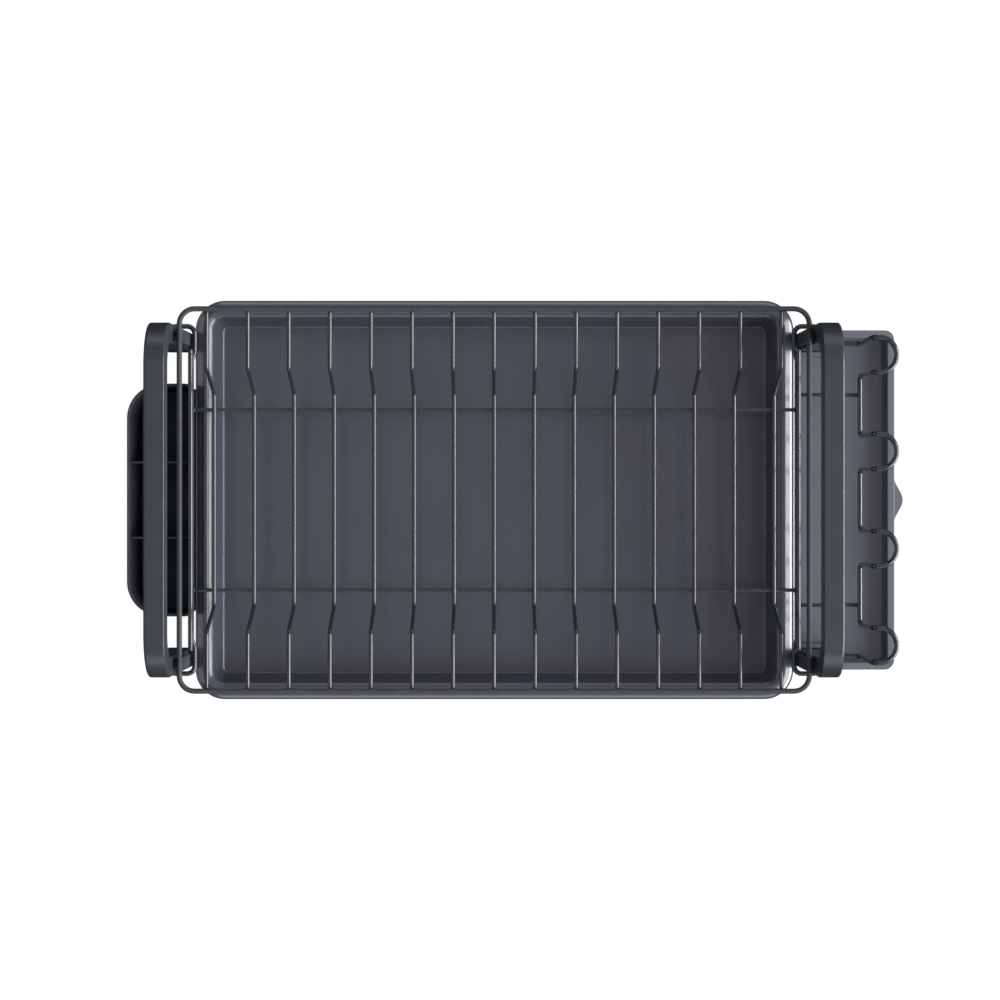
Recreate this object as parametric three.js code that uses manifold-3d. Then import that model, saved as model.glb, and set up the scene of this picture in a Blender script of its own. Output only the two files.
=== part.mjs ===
// Dish drying rack: a wire basket between two arched handles, with a drip tray under the basket,
// a cutlery holder at the left end, and a glass holder over its own drip tray at the right end.
// Millimetres. +X runs to the right along the length, +Y to the back, +Z up.
// The origin is on the worktop, under the middle of the basket.

import * as THREE from 'three';
import { mergeVertices } from 'three/addons/utils/BufferGeometryUtils.js';
import Module from 'manifold-3d';

const wasm = await Module();
wasm.setup();

// Clearance left between two pieces that touch on the real object.
const TOUCH_GAP = 0.3;
const SIDES = [['left', -1], ['right', 1]];
const ENDS = [['front', -1], ['back', 1]];

// Roundness of the faceted shapes.
const WIRE_SIDES = 8;
const BEND_SEGMENTS = 3;
const OUTLINE_SEGMENTS = 5;

// Basket: a closed frame ring with the cross wires hung under its long sides.
const RING = { halfX: 245.5, halfY: 149, z: 118, diameter: 4.2, cornerRadius: 12 };
const CROSS_WIRE_COUNT = 15;
const CROSS_WIRE_PITCH = 32.06;
const CROSS_WIRE_SHIFT_X = -0.27;
const CROSS_WIRE_DIAMETER = 3.2;
const CROSS_WIRE_BEND = 6;
const CROSS_WIRE_TOP_Z = RING.z - RING.diameter / 2 - TOUCH_GAP - CROSS_WIRE_DIAMETER / 2;
const CROSS_WIRE_LOW_Z = 64.3;
const DROP_TOP_Y = 102.6;
const DROP_FOOT_Y = 85.6;

// Wires that tie the cross wires to each other and the basket to the legs.
const SUPPORT_WIRE = { diameter: 3, y: 72.4, halfX: 241.2 };
const SUPPORT_WIRE_Z = CROSS_WIRE_LOW_Z - (CROSS_WIRE_DIAMETER + SUPPORT_WIRE.diameter) / 2 - TOUCH_GAP;
const END_WIRE = { diameter: 4, x: 243.7, z: 64, halfY: 121 };
const STIRRUP = { diameter: 4, x: 243.4, innerX: 240.9, jogStartY: 112, jogEndY: 119, y: 139.5 };
const STIRRUP_Z = END_WIRE.z - END_WIRE.diameter - TOUCH_GAP;
const STIRRUP_TIP_Y = 131.5;
const STIRRUP_TIP_BEND = 2.6;
const STIRRUP_BEND = 5;
const STIRRUP_OUTER_BEND = 7;

// Handle: one arch at each end, whose two legs carry the basket.
const LEG = { innerX: 250.6, outerX: 266.6, innerY: 121.9, outerY: 137.2, bottomZ: 3 };
// How far the two faces of a leg spread along X, from nothing at topZ to this much at the bottom.
const FLARE = { topZ: 128, inner: 1.4, outer: 4 };
const LEG_CENTRE_X = (LEG.innerX + LEG.outerX) / 2;
const LEG_CENTRE_Y = (LEG.innerY + LEG.outerY) / 2;
const ARCH = { topZ: 168, innerTopZ: 148.1, outerRadius: 35.5, innerRadius: 20, edgeRadius: 2 };
const POCKET = { y: 128.6, depth: 8, lowZ: 98.5, highZ: 107, halfY: 5.7 };
const HOLE_CLEARANCE = 0.4;
const FOOT = { halfX: 8.6, halfY: 5.7, plugRadius: 3, plugTopZ: 10 };

// Bracket: a steel strip from the ring down beside the stirrup, with a tongue hooked into a leg's pocket.
const BRACKET = { thickness: 2, halfY: 4.8, lowZ: 58, tongueZ: 100, tipZ: 105.2 };

// Trays and cutlery holder stand on round rubber pads.
const PAD = { radius: 7, height: 1.9, segments: 16 };
const UNDERSIDE_Z = PAD.height + TOUCH_GAP;
const SHEET = 2;
const FLOOR_Z = UNDERSIDE_Z + SHEET;

const TRAY = { halfX: 243.3, halfY: 162.2, cornerRadius: 24, rimZ: 38, lipZ: 34.2, padX: 190, padY: 110 };

const GLASS_TRAY = {
  neckX: 238.5, neckHalfY: 121.4, neckTaper: 0.5, shoulderX: 272.5, endX: 328, halfY: 139.2, cornerRadius: 8, rimZ: 20,
  tabReach: 6.8, tabHalfY: 19,
};

const CUTLERY = {
  outerX: -296, innerX: -243.7, halfY: 93.8, outerRadius: 28, innerRadius: 7, rimZ: 56,
  dividerY: 30.4, dividerThickness: 1.6, dividerTopZ: 54,
};

// Glass holder: one wire with four raised loops, and two thin wires that catch under the end wire.
const HOLDER = {
  diameter: 4, x: 293.7, z: STIRRUP_Z, loopZ: 112.9, loopArmX: 296.5, loopTipX: 314.5, loopHalfY: 13.7,
  loopCentresY: [113.5, 38, -38, -113.5], tipX: 260.1, tipY: 125.6, bend: 4.5,
};
const CATCH_WIRE = { diameter: 3, y: 84.5, innerX: 241.5, outerX: 295.5 };
const CATCH_WIRE_Z = HOLDER.z - (HOLDER.diameter + CATCH_WIRE.diameter) / 2 - TOUCH_GAP;

const steel = new THREE.MeshStandardMaterial({ color: 0x3d4244, roughness: 0.35, metalness: 0.6 });
const handlePlastic = new THREE.MeshStandardMaterial({ color: 0x42484b, roughness: 0.6, metalness: 0 });
const trayPlastic = new THREE.MeshStandardMaterial({ color: 0x4a4d55, roughness: 0.3, metalness: 0 });
const holderPlastic = new THREE.MeshStandardMaterial({ color: 0x202224, roughness: 0.5, metalness: 0 });
const rubber = new THREE.MeshStandardMaterial({ color: 0x1b1c1e, roughness: 0.9, metalness: 0 });

const group = new THREE.Group();

function addPart(name, geometry, material) {
  const mesh = new THREE.Mesh(geometry, material);
  mesh.name = name;
  group.add(mesh);
  return mesh;
}

function point(x, y, z = 0) {
  return new THREE.Vector3(x, y, z);
}

// Points along an arc that rounds the corner between three points.
function bendPoints(before, corner, after, radius, segments) {
  const back = before.clone().sub(corner).normalize();
  const ahead = after.clone().sub(corner).normalize();
  const angle = back.angleTo(ahead);
  const start = corner.clone().addScaledVector(back, radius / Math.tan(angle / 2));
  const middle = back.clone().add(ahead).normalize();
  const centre = corner.clone().addScaledVector(middle, radius / Math.sin(angle / 2));
  const spoke = start.clone().sub(centre);
  const tangent = back.clone().multiplyScalar(-radius);
  const points = [];
  for (let i = 0; i <= segments; i += 1) {
    const turn = ((Math.PI - angle) * i) / segments;
    const onArc = centre.clone().addScaledVector(spoke, Math.cos(turn));
    points.push(onArc.addScaledVector(tangent, Math.sin(turn)));
  }
  return points;
}

// A polyline whose corners are rounded. radii is one radius, or one for each corner.
function roundCorners(corners, radii, segments, closed) {
  const last = corners.length - 1;
  return corners.flatMap((corner, i) => {
    if (!closed && (i === 0 || i === last)) {
      return [corner];
    }
    const before = corners[i === 0 ? last : i - 1];
    const after = corners[i === last ? 0 : i + 1];
    return bendPoints(before, corner, after, Array.isArray(radii) ? radii[i] : radii, segments);
  });
}

// A curve through a list of points, which a sweep visits one point at a time.
class BentPath extends THREE.Curve {
  constructor(points, closed) {
    super();
    this.points = closed ? [...points, points[0]] : points;
    this.closed = closed;
    this.steps = this.points.length - 1;
  }

  getUtoTmapping(u) {
    return u;
  }

  getPoint(t, target = new THREE.Vector3()) {
    const place = t * this.steps;
    const index = Math.min(Math.floor(place), this.steps - 1);
    return target.lerpVectors(this.points[index], this.points[index + 1], place - index);
  }

  segmentDirection(index) {
    return this.points[index + 1].clone().sub(this.points[index]).normalize();
  }

  getTangent(t, target = new THREE.Vector3()) {
    const index = Math.round(t * this.steps);
    const wrap = this.closed ? this.steps - 1 : 0;
    const before = this.segmentDirection(index > 0 ? index - 1 : wrap);
    const after = this.segmentDirection(index < this.steps ? index : (this.closed ? 0 : this.steps - 1));
    return target.copy(before).add(after).normalize();
  }
}

// Round wire bent along the corners given.
function bentWire(corners, diameter, bendRadius) {
  const path = new BentPath(roundCorners(corners, bendRadius, BEND_SEGMENTS, false), false);
  const circle = new THREE.EllipseCurve(0, 0, diameter / 2, diameter / 2).getPoints(WIRE_SIDES);
  const section = new THREE.Shape(circle.slice(0, WIRE_SIDES));
  return new THREE.ExtrudeGeometry(section, { steps: path.steps, extrudePath: path });
}

// Round wire welded into a closed loop.
function wireRing(corners, diameter, bendRadius) {
  const path = new BentPath(roundCorners(corners, bendRadius, OUTLINE_SEGMENTS, true), true);
  return new THREE.TubeGeometry(path, path.steps, diameter / 2, WIRE_SIDES, true);
}

// Closed body through a stack of outlines. outlineAt(inset) gives the outline, drawn in by inset;
// each profile entry is [inset, height], from the underside, round the rim, to the inner floor.
function loft(outlineAt, profile) {
  const rings = profile.map(([inset, z]) => outlineAt(inset).map((p) => point(p.x, p.y, z)));
  const size = rings[0].length;
  const triangles = [];
  for (let level = 0; level + 1 < rings.length; level += 1) {
    for (let i = 0; i < size; i += 1) {
      const next = (i + 1) % size;
      const low = level * size;
      const high = low + size;
      triangles.push(low + i, low + next, high + next, low + i, high + next, high + i);
    }
  }
  const lastRing = size * (rings.length - 1);
  THREE.ShapeUtils.triangulateShape(rings[0], []).forEach(([a, b, c]) => triangles.push(a, c, b));
  THREE.ShapeUtils.triangulateShape(rings[rings.length - 1], []).forEach(([a, b, c]) => {
    triangles.push(lastRing + a, lastRing + b, lastRing + c);
  });
  const geometry = new THREE.BufferGeometry().setFromPoints(rings.flat());
  geometry.setIndex(triangles);
  return geometry;
}

function toSolid(geometry) {
  const bare = geometry.clone();
  bare.deleteAttribute('normal');
  bare.deleteAttribute('uv');
  const merged = mergeVertices(bare);
  return new wasm.Manifold(new wasm.Mesh({
    numProp: 3,
    vertProperties: new Float32Array(merged.attributes.position.array),
    triVerts: new Uint32Array(merged.index.array),
  }));
}

function toGeometry(solid) {
  const mesh = solid.getMesh();
  const geometry = new THREE.BufferGeometry();
  geometry.setAttribute('position', new THREE.BufferAttribute(mesh.vertProperties, 3));
  geometry.setIndex(new THREE.BufferAttribute(mesh.triVerts, 1));
  return geometry;
}

function join(first, ...others) {
  return toGeometry(others.reduce((solid, other) => solid.add(toSolid(other)), toSolid(first)));
}

function cut(first, ...others) {
  return toGeometry(others.reduce((solid, other) => solid.subtract(toSolid(other)), toSolid(first)));
}

// Box between two opposite corners, whichever way round they are given.
function block(cornerA, cornerB) {
  const box = new THREE.Box3().setFromPoints([cornerA, cornerB]);
  const size = box.getSize(new THREE.Vector3());
  const centre = box.getCenter(new THREE.Vector3());
  return new THREE.BoxGeometry(size.x, size.y, size.z).translate(centre.x, centre.y, centre.z);
}

// Round bar between two points that lie on a line along X, Y or Z.
function roundBar(start, end, radius, segments) {
  const length = start.distanceTo(end);
  const turn = new THREE.Quaternion().setFromUnitVectors(
    new THREE.Vector3(0, 1, 0),
    end.clone().sub(start).normalize(),
  );
  const middle = start.clone().lerp(end, 0.5);
  const bar = new THREE.CylinderGeometry(radius, radius, length, segments);
  return bar.applyQuaternion(turn).translate(middle.x, middle.y, middle.z);
}

function addPads(prefix, places) {
  places.forEach(([x, y], i) => {
    const pad = roundBar(point(x, y, 0), point(x, y, PAD.height), PAD.radius, PAD.segments);
    addPart(`${prefix}_pad_${i + 1}`, pad, rubber);
  });
}

// ---- Basket ----

function addTopFrame() {
  const { halfX, halfY, z } = RING;
  const corners = [
    point(-halfX, -halfY, z), point(halfX, -halfY, z), point(halfX, halfY, z), point(-halfX, halfY, z),
  ];
  addPart('top_frame', wireRing(corners, RING.diameter, RING.cornerRadius), steel);
}

// Each cross wire hangs from both long sides of the ring and steps down to carry the plates.
function addCrossWires() {
  const middle = (CROSS_WIRE_COUNT - 1) / 2;
  for (let i = 0; i < CROSS_WIRE_COUNT; i += 1) {
    const x = CROSS_WIRE_SHIFT_X + (i - middle) * CROSS_WIRE_PITCH;
    const corners = [
      point(x, -RING.halfY, CROSS_WIRE_TOP_Z),
      point(x, -DROP_TOP_Y, CROSS_WIRE_TOP_Z),
      point(x, -DROP_FOOT_Y, CROSS_WIRE_LOW_Z),
      point(x, DROP_FOOT_Y, CROSS_WIRE_LOW_Z),
      point(x, DROP_TOP_Y, CROSS_WIRE_TOP_Z),
      point(x, RING.halfY, CROSS_WIRE_TOP_Z),
    ];
    const name = `cross_wire_${String(i + 1).padStart(2, '0')}`;
    addPart(name, bentWire(corners, CROSS_WIRE_DIAMETER, CROSS_WIRE_BEND), steel);
  }
}

function addSupportWires() {
  ENDS.forEach(([end, sign]) => {
    const { diameter, y, halfX } = SUPPORT_WIRE;
    const ends = [point(-halfX, sign * y, SUPPORT_WIRE_Z), point(halfX, sign * y, SUPPORT_WIRE_Z)];
    addPart(`support_wire_${end}`, bentWire(ends, diameter, 0), steel);
  });
}

function addEndWires() {
  SIDES.forEach(([side, sign]) => {
    const { diameter, x, z, halfY } = END_WIRE;
    const ends = [point(sign * x, -halfY, z), point(sign * x, halfY, z)];
    addPart(`end_wire_${side}`, bentWire(ends, diameter, 0), steel);
  });
}

// A stirrup runs under the end wire, passes round the outside of both legs and springs into them.
function addStirrups() {
  SIDES.forEach(([side, sign]) => {
    const half = [
      point(sign * LEG_CENTRE_X, STIRRUP_TIP_Y, STIRRUP_Z),
      point(sign * LEG_CENTRE_X, STIRRUP.y, STIRRUP_Z),
      point(sign * STIRRUP.innerX, STIRRUP.y, STIRRUP_Z),
      point(sign * STIRRUP.innerX, STIRRUP.jogEndY, STIRRUP_Z),
      point(sign * STIRRUP.x, STIRRUP.jogStartY, STIRRUP_Z),
    ];
    const corners = [...half, ...half.map((p) => point(p.x, -p.y, p.z)).reverse()];
    const halfRadii = [0, STIRRUP_TIP_BEND, STIRRUP_OUTER_BEND, STIRRUP_BEND, STIRRUP_BEND];
    const radii = [...halfRadii, ...halfRadii.toReversed()];
    addPart(`stirrup_wire_${side}`, bentWire(corners, STIRRUP.diameter, radii), steel);
  });
}

// The strip hangs from the ring. Its tongue turns out into the pocket and turns up behind the lip.
function addBrackets() {
  const { thickness, halfY, lowZ, tongueZ, tipZ } = BRACKET;
  const topZ = RING.z - RING.diameter / 2 - TOUCH_GAP;
  const tipX = LEG.innerX + POCKET.depth - 1;
  SIDES.forEach(([side, signX]) => ENDS.forEach(([end, signY]) => {
    const nearX = signX * (RING.halfX - thickness / 2);
    const low = signY * POCKET.y - halfY;
    const high = signY * POCKET.y + halfY;
    const hanger = block(point(nearX, low, lowZ), point(nearX + signX * thickness, high, topZ));
    const tongue = block(point(nearX, low, tongueZ), point(signX * tipX, high, tongueZ + thickness));
    const tip = block(point(signX * tipX, low, tongueZ), point(signX * (tipX - thickness), high, tipZ));
    addPart(`leg_bracket_${side}_${end}`, join(hanger, tongue, tip), steel);
  }));
}

// ---- Handles ----

// Outline of an arch seen along X: legs down both sides, rounded shoulders.
function archOutline() {
  const { topZ, innerTopZ, outerRadius, innerRadius } = ARCH;
  const corners = [
    point(-LEG.outerY, LEG.bottomZ), point(-LEG.innerY, LEG.bottomZ),
    point(-LEG.innerY, innerTopZ), point(LEG.innerY, innerTopZ),
    point(LEG.innerY, LEG.bottomZ), point(LEG.outerY, LEG.bottomZ),
    point(LEG.outerY, topZ), point(-LEG.outerY, topZ),
  ];
  const footRadius = 2.5;
  const radii = [
    footRadius, footRadius, innerRadius, innerRadius, footRadius, footRadius, outerRadius, outerRadius,
  ];
  const outline = roundCorners(corners, radii, OUTLINE_SEGMENTS, true);
  return new THREE.Shape(outline.map((p) => new THREE.Vector2(p.x, p.y)));
}

// The arch is drawn in Y and Z and given its thickness along X, with rounded long edges.
function archBody() {
  const { edgeRadius } = ARCH;
  const body = new THREE.ExtrudeGeometry(archOutline(), {
    depth: LEG.outerX - LEG.innerX - 2 * edgeRadius,
    bevelSize: edgeRadius,
    bevelThickness: edgeRadius,
    bevelOffset: -edgeRadius,
    bevelSegments: 2,
    steps: 1,
  });
  const turn = new THREE.Matrix4().makeBasis(point(0, 1, 0), point(0, 0, 1), point(1, 0, 0));
  return flared(body.applyMatrix4(turn).translate(LEG.innerX + edgeRadius, 0, 0));
}

// Spreads both faces of the legs towards the bottom, for a steadier stand.
function flared(body) {
  const position = body.getAttribute('position');
  for (let i = 0; i < position.count; i += 1) {
    const share = Math.max(0, (FLARE.topZ - position.getZ(i)) / (FLARE.topZ - LEG.bottomZ));
    const x = position.getX(i);
    position.setX(i, x + share * (x > LEG_CENTRE_X ? FLARE.outer : -FLARE.inner));
  }
  return body;
}

// Openings in the legs: bracket pocket, stirrup hole, glass holder hole and foot plug hole.
function legOpenings(signY) {
  const wireHole = HOLDER.diameter / 2 + HOLE_CLEARANCE;
  const stirrupHole = STIRRUP.diameter / 2 + HOLE_CLEARANCE;
  const y = signY * LEG_CENTRE_Y;
  const overshoot = 5;
  return [
    block(
      point(LEG.innerX - overshoot, signY * POCKET.y - POCKET.halfY, POCKET.lowZ),
      point(LEG.innerX + POCKET.depth, signY * POCKET.y + POCKET.halfY, POCKET.highZ),
    ),
    roundBar(
      point(LEG_CENTRE_X, signY * (STIRRUP_TIP_Y - HOLE_CLEARANCE), STIRRUP_Z),
      point(LEG_CENTRE_X, signY * (LEG.outerY + overshoot), STIRRUP_Z),
      stirrupHole,
      WIRE_SIDES * 2,
    ),
    roundBar(
      point(HOLDER.tipX - HOLE_CLEARANCE, signY * HOLDER.tipY, HOLDER.z),
      point(LEG.outerX + overshoot, signY * HOLDER.tipY, HOLDER.z),
      wireHole,
      WIRE_SIDES * 2,
    ),
    roundBar(
      point(LEG_CENTRE_X, y, LEG.bottomZ - overshoot),
      point(LEG_CENTRE_X, y, FOOT.plugTopZ + TOUCH_GAP),
      FOOT.plugRadius + TOUCH_GAP,
      PAD.segments,
    ),
  ];
}

// Both handles are the same moulding, the left one turned half way round.
function addHandles() {
  const handle = cut(archBody(), ...legOpenings(1), ...legOpenings(-1));
  addPart('handle_right', handle, handlePlastic);
  addPart('handle_left', handle, handlePlastic).rotation.z = Math.PI;
}

function addHandleFeet() {
  const soleTopZ = LEG.bottomZ - TOUCH_GAP;
  SIDES.forEach(([side, signX]) => ENDS.forEach(([end, signY]) => {
    const x = signX * LEG_CENTRE_X;
    const y = signY * LEG_CENTRE_Y;
    const sole = block(
      point(x - FOOT.halfX, y - FOOT.halfY, 0),
      point(x + FOOT.halfX, y + FOOT.halfY, soleTopZ),
    );
    const plugEnds = [point(x, y, soleTopZ - 1), point(x, y, FOOT.plugTopZ)];
    const plug = roundBar(...plugEnds, FOOT.plugRadius, PAD.segments);
    addPart(`handle_foot_${side}_${end}`, join(sole, plug), rubber);
  }));
}

// ---- Drip tray ----

function addDripTray() {
  const { halfX, halfY, cornerRadius, rimZ, lipZ } = TRAY;
  const outlineAt = (inset) => {
    const x = halfX - inset;
    const y = halfY - inset;
    const corners = [point(-x, -y), point(x, -y), point(x, y), point(-x, y)];
    return roundCorners(corners, cornerRadius - inset, OUTLINE_SEGMENTS, true);
  };
  const profile = [
    [21, UNDERSIDE_Z], [18.4, UNDERSIDE_Z + 0.7], [17, UNDERSIDE_Z + 3.3], [16.1, UNDERSIDE_Z + 7],
    [11.9, rimZ - 4.1], [1, lipZ - 2.6], [0, lipZ - 1.8], [0.4, lipZ],
    [6.9, rimZ - 0.2], [8.4, rimZ], [9.2, rimZ - 0.8], [13.2, rimZ - 0.8], [14.2, rimZ - 2],
    [18.4, FLOOR_Z + 4.8], [19.6, FLOOR_Z + 1], [21.4, FLOOR_Z],
  ];
  addPart('drip_tray', loft(outlineAt, profile), trayPlastic);
  const { padX, padY } = TRAY;
  addPads('drip_tray', [[0, 0], [-padX, -padY], [padX, -padY], [padX, padY], [-padX, padY]]);
}

// ---- Glass drip tray ----

// A wide outer basin with a narrower neck that passes between the legs, under the drip tray's rim.
function glassTrayOutline(inset) {
  const { neckX, neckHalfY, neckTaper, shoulderX, endX, halfY, cornerRadius } = GLASS_TRAY;
  const left = neckX + inset;
  const neckY = neckHalfY - neckTaper * inset;
  const shoulder = shoulderX + inset;
  const right = endX - inset;
  const wideY = halfY - inset;
  const convex = Math.max(cornerRadius - inset / 2, 2);
  const concave = 1 + inset;
  const corners = [
    point(left, -neckY), point(shoulder, -neckY), point(shoulder, -wideY), point(right, -wideY),
    point(right, wideY), point(shoulder, wideY), point(shoulder, neckY), point(left, neckY),
  ];
  const radii = [convex, concave, convex, convex, convex, convex, concave, convex];
  return roundCorners(corners, radii, OUTLINE_SEGMENTS, true);
}

// Pull tab: a smooth bell-shaped bulge in the middle of the outer rim.
function pullTab(lowZ, highZ) {
  const { endX, tabReach, tabHalfY } = GLASS_TRAY;
  const rootDepth = 3;
  const overlap = 0.2;
  const steps = 16;
  const bell = [];
  for (let i = 0; i <= steps; i += 1) {
    const y = tabHalfY * ((2 * i) / steps - 1);
    const rise = (1 + Math.cos((Math.PI * y) / tabHalfY)) / 2;
    bell.push(new THREE.Vector2(endX - overlap + (tabReach + overlap) * rise, y));
  }
  const root = [tabHalfY, -tabHalfY].map((y) => new THREE.Vector2(endX - rootDepth, y));
  const shape = new THREE.Shape([...bell, ...root]);
  return new THREE.ExtrudeGeometry(shape, { depth: highZ - lowZ, bevelEnabled: false, steps: 1 })
    .translate(0, 0, lowZ);
}

function addGlassTray() {
  const { rimZ } = GLASS_TRAY;
  const rimThickness = 1.8;
  const profile = [
    [8.5, UNDERSIDE_Z], [6.6, UNDERSIDE_Z + 0.8], [5.8, UNDERSIDE_Z + 3], [4.6, rimZ - rimThickness],
    [0, rimZ - rimThickness], [0, rimZ - 0.3], [0.4, rimZ], [5.6, rimZ], [6.2, rimZ - 0.5],
    [7.8, FLOOR_Z + 3.2], [8.6, FLOOR_Z + 0.9], [10.6, FLOOR_Z],
  ];
  const basin = loft(glassTrayOutline, profile);
  addPart('glass_tray', join(basin, pullTab(rimZ - rimThickness + 0.1, rimZ - 0.1)), trayPlastic);
  addPads('glass_tray', [[255, -100], [255, 100], [312, -118], [312, 118]]);
}

// ---- Cutlery holder ----

// The outer corners are well rounded; the inner ones, under the end wires, are tight.
function cutleryOutline(inset) {
  const outer = CUTLERY.outerX + inset;
  const inner = CUTLERY.innerX - inset;
  const y = CUTLERY.halfY - inset;
  const wide = CUTLERY.outerRadius - inset;
  const tight = CUTLERY.innerRadius - inset / 2;
  const corners = [point(outer, -y), point(inner, -y), point(inner, y), point(outer, y)];
  return roundCorners(corners, [wide, tight, tight, wide], OUTLINE_SEGMENTS, true);
}

function addCutleryHolder() {
  const { outerX, innerX, rimZ, dividerY, dividerThickness, dividerTopZ } = CUTLERY;
  const profile = [
    [4.5, UNDERSIDE_Z], [2.4, UNDERSIDE_Z + 1], [1.4, UNDERSIDE_Z + 4], [0, rimZ - 0.3], [0.3, rimZ],
    [1.7, rimZ], [2, rimZ - 0.3], [3.4, FLOOR_Z + 3], [4.4, FLOOR_Z + 0.9], [6.5, FLOOR_Z],
  ];
  const dividers = [-1, 1].map((sign) => block(
    point(outerX + 1, sign * dividerY - dividerThickness / 2, FLOOR_Z - 1),
    point(innerX - 1, sign * dividerY + dividerThickness / 2, dividerTopZ),
  ));
  const shell = toSolid(loft(cutleryOutline, profile));
  const outside = toSolid(loft(cutleryOutline, [[3.4, UNDERSIDE_Z + 0.5], [0.8, rimZ - 0.5]]));
  const walls = dividers.map((divider) => toSolid(divider).intersect(outside));
  addPart('cutlery_holder', toGeometry(shell.add(walls[0]).add(walls[1])), holderPlastic);
  addPads('cutlery_holder', [[-256, -76], [-256, 76], [-281, -66], [-281, 66]]);
}

// ---- Glass holder ----

// Corners of one loop: up from the base, out to the tip, back and down, walked towards -Y.
function loopCorners(centreY) {
  const { x, z, loopZ, loopArmX, loopTipX, loopHalfY } = HOLDER;
  const back = centreY + loopHalfY;
  const front = centreY - loopHalfY;
  return [
    point(x, back, z), point(loopArmX, back, loopZ), point(loopTipX, back, loopZ),
    point(loopTipX, front, loopZ), point(loopArmX, front, loopZ), point(x, front, z),
  ];
}

function addGlassHolder() {
  const { diameter, z, loopCentresY, loopHalfY, tipX, tipY, bend } = HOLDER;
  const loops = loopCentresY.flatMap(loopCorners);
  const first = loops[0];
  const last = loops[loops.length - 1];
  first.y = tipY;
  last.y = -tipY;
  const corners = [point(tipX, tipY, z), ...loops, point(tipX, -tipY, z)];
  const tipBend = loopHalfY - 0.2;
  const radii = corners.map((corner) => (corner.x === HOLDER.loopTipX ? tipBend : bend));
  addPart('glass_holder', bentWire(corners, diameter, radii), steel);
  ENDS.forEach(([end, sign]) => {
    const { y, innerX, outerX } = CATCH_WIRE;
    const ends = [point(innerX, sign * y, CATCH_WIRE_Z), point(outerX, sign * y, CATCH_WIRE_Z)];
    addPart(`catch_wire_${end}`, bentWire(ends, CATCH_WIRE.diameter, 0), steel);
  });
}

addTopFrame();
addCrossWires();
addSupportWires();
addEndWires();
addStirrups();
addBrackets();
addHandles();
addHandleFeet();
addDripTray();
addGlassTray();
addCutleryHolder();
addGlassHolder();

export default group;
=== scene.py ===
"""Dish drying rack: detailed meshes, materials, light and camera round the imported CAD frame.

Lengths are in millimetres until a mesh is made, and then in metres. The axes are the CAD frame's:
+X right along the length, +Y to the back, +Z up, with the origin on the worktop.
"""

import math

import bpy  # noqa: E402
from mathutils import Matrix, Vector  # noqa: E402


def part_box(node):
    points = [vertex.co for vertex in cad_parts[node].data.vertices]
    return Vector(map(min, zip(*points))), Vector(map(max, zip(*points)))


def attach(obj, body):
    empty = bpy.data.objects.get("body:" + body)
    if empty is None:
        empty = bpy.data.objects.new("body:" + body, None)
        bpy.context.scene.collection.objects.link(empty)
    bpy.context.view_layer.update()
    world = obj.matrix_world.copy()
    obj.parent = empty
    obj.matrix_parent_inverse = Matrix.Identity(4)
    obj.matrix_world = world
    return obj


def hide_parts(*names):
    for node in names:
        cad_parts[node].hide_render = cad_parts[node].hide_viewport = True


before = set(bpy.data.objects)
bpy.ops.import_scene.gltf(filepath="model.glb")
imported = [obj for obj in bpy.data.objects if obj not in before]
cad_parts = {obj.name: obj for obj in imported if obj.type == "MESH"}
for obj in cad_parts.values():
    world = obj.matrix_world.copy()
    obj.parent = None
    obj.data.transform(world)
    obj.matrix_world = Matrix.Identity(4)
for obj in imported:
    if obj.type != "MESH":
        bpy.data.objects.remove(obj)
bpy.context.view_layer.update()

MM = 0.001
SIDES = (("left", -1), ("right", 1))
ENDS = (("front", -1), ("back", 1))

# Roundness of the meshes.
WIRE_SIDES = 20
BEND_SEGMENTS = 10
OUTLINE_SEGMENTS = 14
FILLET_SEGMENTS = 6
DISC_SIDES = 48
FOOT_SEGMENTS = 5
TAB_SEGMENTS = 40
BEAD_ROWS = 8
BEAD_COLUMNS = 14
SHARP_ANGLE = math.radians(38)

# How a wire's cut end closes, as (depth, scale) shares of its radius.
CUT_END = ((0, 0.72), (0.1, 0.88), (0.28, 0.97), (0.5, 1))
# How the mouth of a hole or slot is rounded over, as (inset, depth) pairs.
ROUNDED_MOUTH = ((-1, -1), (-0.6, 0), (-0.27, 0.1), (-0.1, 0.25), (0, 0.55))

# Basket.
RING_CORNER = 12
CROSS_WIRE_COUNT = 15
CROSS_WIRE_BEND = 6
DROP_TOP_Y = 102.6
DROP_FOOT_Y = 85.6
STIRRUP_RUN_INSET = 0.3
STIRRUP_JOG_START_Y = 112
STIRRUP_JOG_END_Y = 119
STIRRUP_TIP_Y = 131.5
STIRRUP_BEND = 5
STIRRUP_OUTER_BEND = 6
STIRRUP_TIP_BEND = 2.6

# Welds: the half sizes of each lump of metal, and where it sits on its wire.
RING_WELD = (2.2, 1.8, 1.3)
SUPPORT_WELD = (2, 2, 0.9)
END_WELD = (1.9, 2.6, 1.7)
END_WELD_LIFT = 0.8
STIRRUP_WELD = (1.6, 3.2, 1.2)
STIRRUP_WELD_SHIFT = 0.4
STIRRUP_WELD_YS = (20, 62, 104)
BRACKET_WELD = (1.9, 5.2, 1.2)
BRACKET_WELD_INSET = 2.1
CATCH_WELD = (2.1, 2.1, 1)
CATCH_WELD_LIFT = 0.1

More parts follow.
